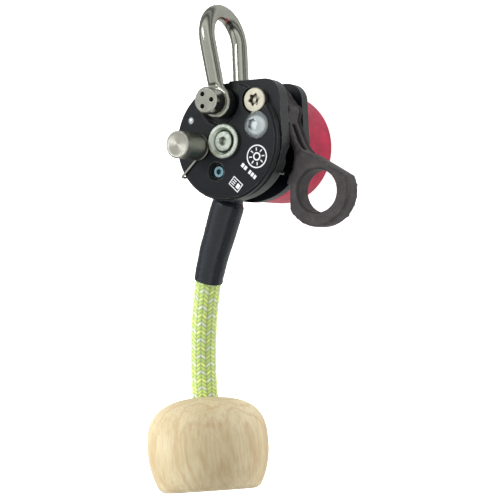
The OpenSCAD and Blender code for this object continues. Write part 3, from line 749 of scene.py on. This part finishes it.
def relaxed(mesh, points, steps, weight=None, keep_size=True):
    """Smooths the points over the mesh's edges. With keep_size, every other step undoes the shrinking."""
    pull_in, push_out = 0.5, -0.53
    edges = np.empty(len(mesh.edges) * 2, int)
    mesh.edges.foreach_get("vertices", edges)
    a, b = edges.reshape(-1, 2).T
    count = np.bincount(np.concatenate([a, b]), minlength=len(points))[:, None]
    share = np.ones((len(points), 1)) if weight is None else weight[:, None]
    for step in range(steps):
        total = np.zeros_like(points)
        np.add.at(total, a, points[b])
        np.add.at(total, b, points[a])
        pull = total / np.maximum(count, 1) - points
        factor = push_out if keep_size and step % 2 else pull_in
        points = points + factor * share * pull
    return points


def make_shackle():
    """The forged shackle. Its bar flows into the eyes, with a smoothed neck just outside each eye."""
    eye_r, neck_end = 5.2, 15
    mesh = remeshed("shackle_bow", 0.4 * MM)
    points, _ = mesh_arrays(mesh)
    points = relaxed(mesh, points, 24)
    pin = middle("shackle_pin")
    reach = np.hypot(points[:, 0] - pin.x, points[:, 1] - pin.y) / MM
    neck = np.clip((reach - eye_r) / 1.5, 0, 1) * np.clip((neck_end - reach) / 5, 0, 1)
    points = relaxed(mesh, points, 22, neck, keep_size=False)
    points = relaxed(mesh, points, 12)
    set_points(mesh, points)
    return new_piece("forged_shackle", mesh, "shackle", "stainless_polished", ["shackle_bow"])


make_shackle()


def rounded_over(points, normals, walls, level, way, radius):
    """Rounds the edge between the walls and a flat face at that level. way is 1 for a top, -1 below."""
    depth = way * (level - points[:, 2])
    tree = kdtree.KDTree(int(walls.sum()))
    near = walls & (depth < 2.5 * radius) & (depth > -0.5 * MM)
    for i in np.nonzero(near)[0]:
        tree.insert((points[i, 0], points[i, 1], 0), int(i))
    tree.balance()
    moved = points.copy()
    flat = (way * normals[:, 2] > 0.6) & (np.abs(depth) < 0.5 * MM)
    for i in np.nonzero(flat)[0]:
        distance = tree.find((points[i, 0], points[i, 1], 0))[2]
        if distance < radius:
            moved[i, 2] -= way * (radius - math.sqrt(radius ** 2 - (radius - distance) ** 2))
    side = near & (depth < radius)
    inward = radius - np.sqrt(radius ** 2 - (radius - np.clip(depth, 0, radius)) ** 2)
    moved[side, :2] -= normals[side, :2] * inward[side, None]
    return moved


def make_arm():
    """The cast arm, with its outer edges rounded over, but not those of its bore and pivot hole."""
    bore_r, pivot_r = 12.5 * MM, 6.5 * MM
    rear_step = 1.4 * MM
    mesh = remeshed("guide_arm", 0.42 * MM)
    points, normals = mesh_arrays(mesh)
    low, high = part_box("guide_arm")
    ring = Vector(mount_at("guide_ring"))
    pivot = middle("arm_pivot_bolt")
    from_ring = np.hypot(points[:, 0] - ring.x, points[:, 1] - ring.y)
    from_pivot = np.hypot(points[:, 0] - pivot.x, points[:, 1] - pivot.y)
    walls = (np.abs(normals[:, 2]) < 0.3) & (from_ring > bore_r) & (from_pivot > pivot_r)
    for level, way, radius in ((high.z, 1, 1.6 * MM), (low.z + rear_step, -1, 3.2 * MM)):
        points = rounded_over(points, normals, walls, level, way, radius)
    points = relaxed(mesh, points, 14)
    set_points(mesh, points)
    return new_piece("cast_arm", mesh, "arm", "cast_grey", ["guide_arm"])


make_arm()


# ---------------------------------------------------------------- knurled lock knob
KNURL_TEETH = 60
KNURL_PITCH = 0.62 * MM
KNURL_DEPTH = 0.12 * MM
KNURL_ROW = 0.12 * MM
POINTS_PER_TOOTH = 7
KNOB_TIP_R = 0.02 * MM
KNOB_SOCKET = 4.2 * MM
KNOB_SOCKET_WALL = 1.25 * MM
KNOB_GROOVE_DOWN = 2.8 * MM
KNOB_DISH = 0.1 * MM


def knob_profile(radius, low, high, groove):
    """The knob's outline from the socket's ceiling, round the rim, to the middle of its top."""
    socket_r = radius - KNOB_SOCKET_WALL
    profile = [(KNOB_TIP_R, low + KNOB_SOCKET), (socket_r, low + KNOB_SOCKET), (socket_r, low)]
    for inset, rise in ((0.45, 0), (0.1, 0.25), (0, 0.5)):
        profile.append((radius - inset * MM, low + rise * MM))
    for z in np.arange(low + 0.9 * MM, groove - 0.25 * MM, KNURL_ROW):
        profile.append((radius, z))
    for inset, rise in ((0.18, -0.1), (0.2, 0), (0, 0.2)):
        profile.append((radius - inset * MM, groove + rise * MM))
    for inset, drop in ((0, 0.55), (0.1, 0.3), (0.5, 0.02), (0.7, 0), (0.9, 0.05)):
        profile.append((radius - inset * MM, high - drop * MM))
    for share in (0.8, 0.6, 0.4, 0.2):
        profile.append((radius * share, high - KNOB_DISH))
    return profile + [(KNOB_TIP_R, high - KNOB_DISH)]


def knurl(angles, rise):
    """How far the crossed grooves cut in, at each angle of a ring at that rise up the knob."""
    climb = rise / KNURL_PITCH * math.pi
    one = np.abs(np.sin(angles * KNURL_TEETH / 2 + climb / 2))
    two = np.abs(np.sin(angles * KNURL_TEETH / 2 - climb / 2))
    return KNURL_DEPTH * (1 - np.minimum(one, two) ** 0.7)


def make_lock_knob():
    """The lock knob: knurled up to a groove near its top, with a shallow dish on top."""
    low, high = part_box("lock_knob")
    centre = middle("lock_knob")
    radius = (high.x - low.x) / 2
    groove = high.z - KNOB_GROOVE_DOWN
    angles = turn_of(KNURL_TEETH * POINTS_PER_TOOTH)
    rows = []
    for r, z in knob_profile(radius, low.z, high.z, groove):
        knurled = r == radius and low.z + 0.85 * MM < z < groove - 0.2 * MM
        radii = r - knurl(angles, z - low.z) if knurled else 0 * angles + r
        rows.append(level_ring(radii, z, angles, centre.x, centre.y))
    mesh = grid_mesh("knurled_knob", rows)
    mesh.flip_normals()
    mesh.set_sharp_from_angle(angle=math.radians(35))
    material = turned_metal("turned_stainless", (0.70, 0.68, 0.62), 0.38, centre)
    return new_piece("knurled_knob", mesh, "lock", "stainless_brushed", ["lock_knob"], material)


make_lock_knob()


# ---------------------------------------------------------------- wires
RETAINING_WIRE_R = 0.6 * MM
RETAINING_LOOP_R = 5.95 * MM
RETAINING_ABOVE_FACE = 0.12 * MM
RETAINING_STEPS = 60
RETAINING_STEP = 5
RETAINING_LEAN = math.radians(-136)
# Where the loop ends, from the direction of the straight run
RETAINING_LOOP_END = math.radians(41)
# How far the straight run has come and how far it has dropped, in millimetres
RETAINING_RUN = ((0.8, 0), (5, 0), (10.4, 0), (11.2, 0.12), (11.8, 0.6), (12.05, 1.3), (12.1, 2.2),
                 (12.1, 3.4))


def on_circle(radius, angle, z=0.0):
    """A point on a circle round the Z axis."""
    return Vector((radius * math.cos(angle), radius * math.sin(angle), z))


def make_retaining_wire():
    """The wire that circles the lock knob's foot, runs straight out and bends over the plate's edge."""
    centre = middle("lock_knob")
    foot = Vector((centre.x, centre.y, FACE_Z + RETAINING_WIRE_R + RETAINING_ABOVE_FACE))
    out = on_circle(1, RETAINING_LEAN)
    leave = RETAINING_LEAN + RETAINING_LOOP_END
    points = []
    for i in range(RETAINING_STEPS, -1, -1):
        angle = leave + math.radians(RETAINING_STEP * i)
        points.append(foot + RETAINING_LOOP_R * on_circle(1, angle))
    start = points[-1]
    for run, drop in RETAINING_RUN:
        points.append(start + out * run * MM - Vector((0, 0, drop * MM)))
    return wire_curve("retaining_wire_bent", points, RETAINING_WIRE_R, "wire", "stainless_brushed",
                      "retaining_wire")


LEVER_SPRING_R = 9.1 * MM
LEVER_WIRE_R = 0.55 * MM
# The coil's steps in degrees. It starts below the gap's top and rises from there, in millimetres.
LEVER_STEPS = 60
LEVER_STEP = 9
LEVER_COIL_FROM = -2.3
LEVER_COIL_RISE = 1.3
LEVER_ARM_DROP = 0.9 * MM
LEVER_HOOK_AT = 29.9 * MM
LEVER_HOOK_ANGLE = math.radians(-31)
# The hook's bend: outward push and rise above the gap's top, in millimetres
LEVER_HOOK_BEND = ((0, -0.2), (0.15, 0.6), (0.2, 1.6), (-0.05, 2.4), (-0.4, 3))


def make_lever_spring():
    """The lever's spring: a turn and a half round the pivot, then an arm to a hook on the plate's edge."""
    gap_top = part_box("stop_post")[1].z
    outward = on_circle(1, LEVER_HOOK_ANGLE)
    hook = LEVER_HOOK_AT * outward
    leave = LEVER_HOOK_ANGLE + math.acos(LEVER_SPRING_R / LEVER_HOOK_AT)
    points = []
    for i in range(LEVER_STEPS + 1):
        angle = leave + math.radians(LEVER_STEP * LEVER_STEPS) - math.radians(LEVER_STEP * i)
        rise = (LEVER_COIL_FROM + LEVER_COIL_RISE * i / LEVER_STEPS) * MM
        points.append(on_circle(LEVER_SPRING_R, angle, gap_top + rise))
    start = on_circle(LEVER_SPRING_R, leave)
    for share in (0.35, 0.7, 0.97):
        points.append(start.lerp(hook, share) + Vector((0, 0, gap_top - LEVER_ARM_DROP)))
    for push, rise in LEVER_HOOK_BEND:
        points.append(hook + outward * push * MM + Vector((0, 0, gap_top + rise * MM)))
    return wire_curve("lever_spring_wound", points, LEVER_WIRE_R, "housing", "spring_steel",
                      "lever_spring")


LOCK_WIRE_R = 0.4 * MM
LOCK_WIRE_SIDES = 10
LOCK_TURNS = 5
LOCK_STEPS = 36 * LOCK_TURNS + 1


def make_lock_spring():
    """The coil inside the bushing, as long as the CAD coil. The real coil flattens as the knob is pulled.
    """
    low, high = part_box("lock_spring")
    reach = (high.x - low.x) / 2 - LOCK_WIRE_R
    turns = np.linspace(0, LOCK_TURNS, LOCK_STEPS)
    centre = middle("lock_spring")
    climb = (high.z - low.z - 2 * LOCK_WIRE_R) * turns / LOCK_TURNS
    line = level_ring(reach, low.z + LOCK_WIRE_R + climb, turns * 2 * math.pi, centre.x, centre.y)
    side, up = tube_frame(line)
    angles = turn_of(LOCK_WIRE_SIDES)
    rows = [np.repeat([line[0]], LOCK_WIRE_SIDES, 0)]
    rows += [ring_round(line[i], side[i], up[i], LOCK_WIRE_R + 0 * angles, angles)
             for i in range(LOCK_STEPS)]
    rows += [np.repeat([line[-1]], LOCK_WIRE_SIDES, 0)]
    spring = new_piece("lock_spring_wound", grid_mesh("lock_spring_wound", rows), "housing",
                       "spring_steel", ["lock_spring"])
    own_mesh(spring)


make_retaining_wire()
make_lever_spring()
make_lock_spring()

# ---------------------------------------------------------------- printed marks
# Plain shapes stand in for the printed marks. Their places and sizes are in millimetres.
INK_DEPTH = 0.05 * MM
INK_SUNK = 0.01 * MM
MARK_TURN = math.radians(-41)
RING_AT = (17.6, -7.8)
RING_CIRCLES = ((5.5, 4.9, 48), (2.0, 1.3, 32))
RING_SPOKES = 8
SPOKE_AT = 3.4
SPOKE_SIZE = (1.5, 0.55)
DASHES_AT = (12.9, -14.2)
DASH_HEIGHT = 1.9
# Each dash: how far along the row its middle is, and its width
DASHES = ((-3.9, 1.5), (-1.9, 1.5), (1.2, 1.3), (3.0, 1.3), (4.8, 1.3))
PANEL_AT = (6.1, -20.4)
PANEL_OUTER = (6.6, 4.8)
PANEL_INNER = (5.7, 3.9)
PANEL_LINE = (2.0, 0.42)
PANEL_BLOCK = (1.9, 2.3)


def plate_mark(name, outlines):
    """Thin printed shapes on the face: each outline is an outer and an inner loop of points."""
    bm = bmesh.new()
    for outer, inner in outlines:
        n = len(outer)
        layers = []
        for z in (FACE_Z - INK_SUNK, FACE_Z + INK_DEPTH):
            layers.append([[bm.verts.new((p[0] * MM, p[1] * MM, z)) for p in loop]
                           for loop in (outer, inner)])
        (low_out, low_in), (top_out, top_in) = layers
        for i in range(n):
            j = (i + 1) % n
            bm.faces.new((top_out[i], top_out[j], top_in[j], top_in[i]))
            bm.faces.new((low_out[i], low_out[j], top_out[j], top_out[i]))
            bm.faces.new((top_in[i], top_in[j], low_in[j], low_in[i]))
            bm.faces.new((low_in[i], low_in[j], low_out[j], low_out[i]))
    bmesh.ops.recalc_face_normals(bm, faces=bm.faces)
    mesh = bpy.data.meshes.new(name)
    bm.to_mesh(mesh)
    bm.free()
    return new_piece(name, mesh, "housing", "zinc", material=INK)


def circle_loop(x, y, r, n):
    """The points of a circle."""
    angles = [2 * math.pi * i / n for i in range(n)]
    return [(x + r * math.cos(a), y + r * math.sin(a)) for a in angles]


def box_loop(x, y, w, h, turn):
    """The corners of a turned rectangle round its middle."""
    c, s = math.cos(turn), math.sin(turn)
    corners = ((-w / 2, -h / 2), (w / 2, -h / 2), (w / 2, h / 2), (-w / 2, h / 2))
    return [(x + u * c - v * s, y + u * s + v * c) for u, v in corners]


def bar(x, y, w, h, turn):
    """A solid bar: its inner loop has almost no size."""
    return box_loop(x, y, w, h, turn), box_loop(x, y, 0.02, 0.02, turn)


def make_ring_mark():
    """Two circles with spokes between them."""
    x, y = RING_AT
    shapes = [(circle_loop(x, y, outer, n), circle_loop(x, y, inner, n))
              for outer, inner, n in RING_CIRCLES]
    for i in range(RING_SPOKES):
        a = 2 * math.pi / RING_SPOKES * i + MARK_TURN
        shapes.append(bar(x + SPOKE_AT * math.cos(a), y + SPOKE_AT * math.sin(a), *SPOKE_SIZE, a))
    plate_mark("ring_mark", shapes)


def make_dash_mark(along):
    """A row of blank dashes where the photograph has letters."""
    start = Vector(DASHES_AT)
    plate_mark("dash_mark", [bar(*(start + along * step), width, DASH_HEIGHT, MARK_TURN)
                             for step, width in DASHES])


def make_panel_mark(along):
    """A framed panel with three lines and a block."""
    at = Vector(PANEL_AT)
    across = Vector((-along.y, along.x))
    shapes = [(box_loop(*PANEL_AT, *PANEL_OUTER, MARK_TURN),
               box_loop(*PANEL_AT, *PANEL_INNER, MARK_TURN))]
    for shift in (-1.0, 0.0, 1.0):
        shapes.append(bar(*(at + across * shift - along * 1.4), *PANEL_LINE, MARK_TURN))
    shapes.append(bar(*(at + along * 1.5), *PANEL_BLOCK, MARK_TURN))
    plate_mark("panel_mark", shapes)


MARKS_ALONG = Vector((math.cos(MARK_TURN), math.sin(MARK_TURN)))
make_ring_mark()
make_dash_mark(MARKS_ALONG)
make_panel_mark(MARKS_ALONG)

# ---------------------------------------------------------------- floor and light
SCENE.view_settings.view_transform = "Standard"
SOFT_LIGHT = 0.40
# The room that metal mirrors, from straight down (0) to straight up (1), and how bright it is there
ROOM_BANDS = ((0.0, 0.50), (0.20, 0.60), (0.36, 0.08), (0.46, 0.45), (0.60, 0.05), (0.78, 0.85),
              (0.92, 0.55), (1.0, 0.60))
FLOOR_HALF = 2.5
FLOOR_BELOW = 0.2 * MM
FLOOR_GLOW = 0.85
LAMP_AIM = Vector((0, -50 * MM, 40 * MM))


def studio_world():
    """Soft white light all round; what metal mirrors is a darker room with pale bands."""
    world = bpy.data.worlds.new("studio")
    SCENE.world = world
    world.use_nodes = True
    tree = world.node_tree
    soft = tree.nodes["Background"]
    soft.inputs[0].default_value = (1, 1, 1, 1)
    soft.inputs[1].default_value = SOFT_LIGHT
    height = tree.nodes.new("ShaderNodeSeparateXYZ")
    tree.links.new(tree.nodes.new("ShaderNodeTexCoord").outputs["Generated"], height.inputs[0])
    span = tree.nodes.new("ShaderNodeMapRange")
    span.inputs["From Min"].default_value = -1
    tree.links.new(height.outputs[2], span.inputs["Value"])
    ramp = tree.nodes.new("ShaderNodeValToRGB")
    ramp.color_ramp.elements[0].position = ROOM_BANDS[0][0]
    ramp.color_ramp.elements[1].position = ROOM_BANDS[-1][0]
    for position, _ in ROOM_BANDS[1:-1]:
        ramp.color_ramp.elements.new(position)
    for element, (_, level) in zip(ramp.color_ramp.elements, ROOM_BANDS):
        element.color = (level * 0.96, level, level * 0.95, 1)
    tree.links.new(span.outputs[0], ramp.inputs[0])
    room = tree.nodes.new("ShaderNodeBackground")
    tree.links.new(ramp.outputs[0], room.inputs[0])
    mixed = tree.nodes.new("ShaderNodeMixShader")
    tree.links.new(tree.nodes.new("ShaderNodeLightPath").outputs["Is Glossy Ray"], mixed.inputs[0])
    tree.links.new(soft.outputs[0], mixed.inputs[1])
    tree.links.new(room.outputs[0], mixed.inputs[2])
    tree.links.new(mixed.outputs[0], tree.nodes["World Output"].inputs[0])


studio_world()


def floor():
    """A plain white floor just under the object, which glows a little so that it stays white."""
    mesh = bpy.data.meshes.new("floor")
    half = FLOOR_HALF
    corners = [(-half, -half, 0), (half, -half, 0), (half, half, 0), (-half, half, 0)]
    mesh.from_pydata(corners, [], [(0, 1, 2, 3)])
    plane = bpy.data.objects.new("floor", mesh)
    SCENE.collection.objects.link(plane)
    plane.location.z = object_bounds()[0].z - FLOOR_BELOW
    look = Look("floor_white", (0.95, 0.95, 0.95), Roughness=0.9, Emission_Strength=FLOOR_GLOW,
                Emission_Color=(1, 1, 1, 1))
    mesh.materials.append(look.material)
    plane.visible_glossy = False
    plane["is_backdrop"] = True


floor()


def area_light(name, place, width, height, power, mirrored=False):
    """A soft lamp aimed at the object. Metal shows it only if it is mirrored."""
    data = bpy.data.lights.new(name, "AREA")
    data.shape = "RECTANGLE"
    data.size, data.size_y = width, height
    data.energy = power
    lamp = bpy.data.objects.new(name, data)
    SCENE.collection.objects.link(lamp)
    lamp.location = place
    lamp.visible_glossy = mirrored
    lamp.rotation_euler = (LAMP_AIM - Vector(place)).to_track_quat("-Z", "Y").to_euler()


area_light("key", (-0.85, -0.25, 0.85), 0.7, 0.7, 13)
area_light("top", (-0.25, 0.85, 0.65), 0.8, 0.5, 4)
area_light("left", (-0.95, -0.15, 0.35), 0.35, 0.9, 3)
area_light("right", (0.95, 0.3, 0.22), 0.35, 0.8, 3)
area_light("glint", (-0.42, 0.36, 0.85), 0.14, 0.45, 1.6, mirrored=True)
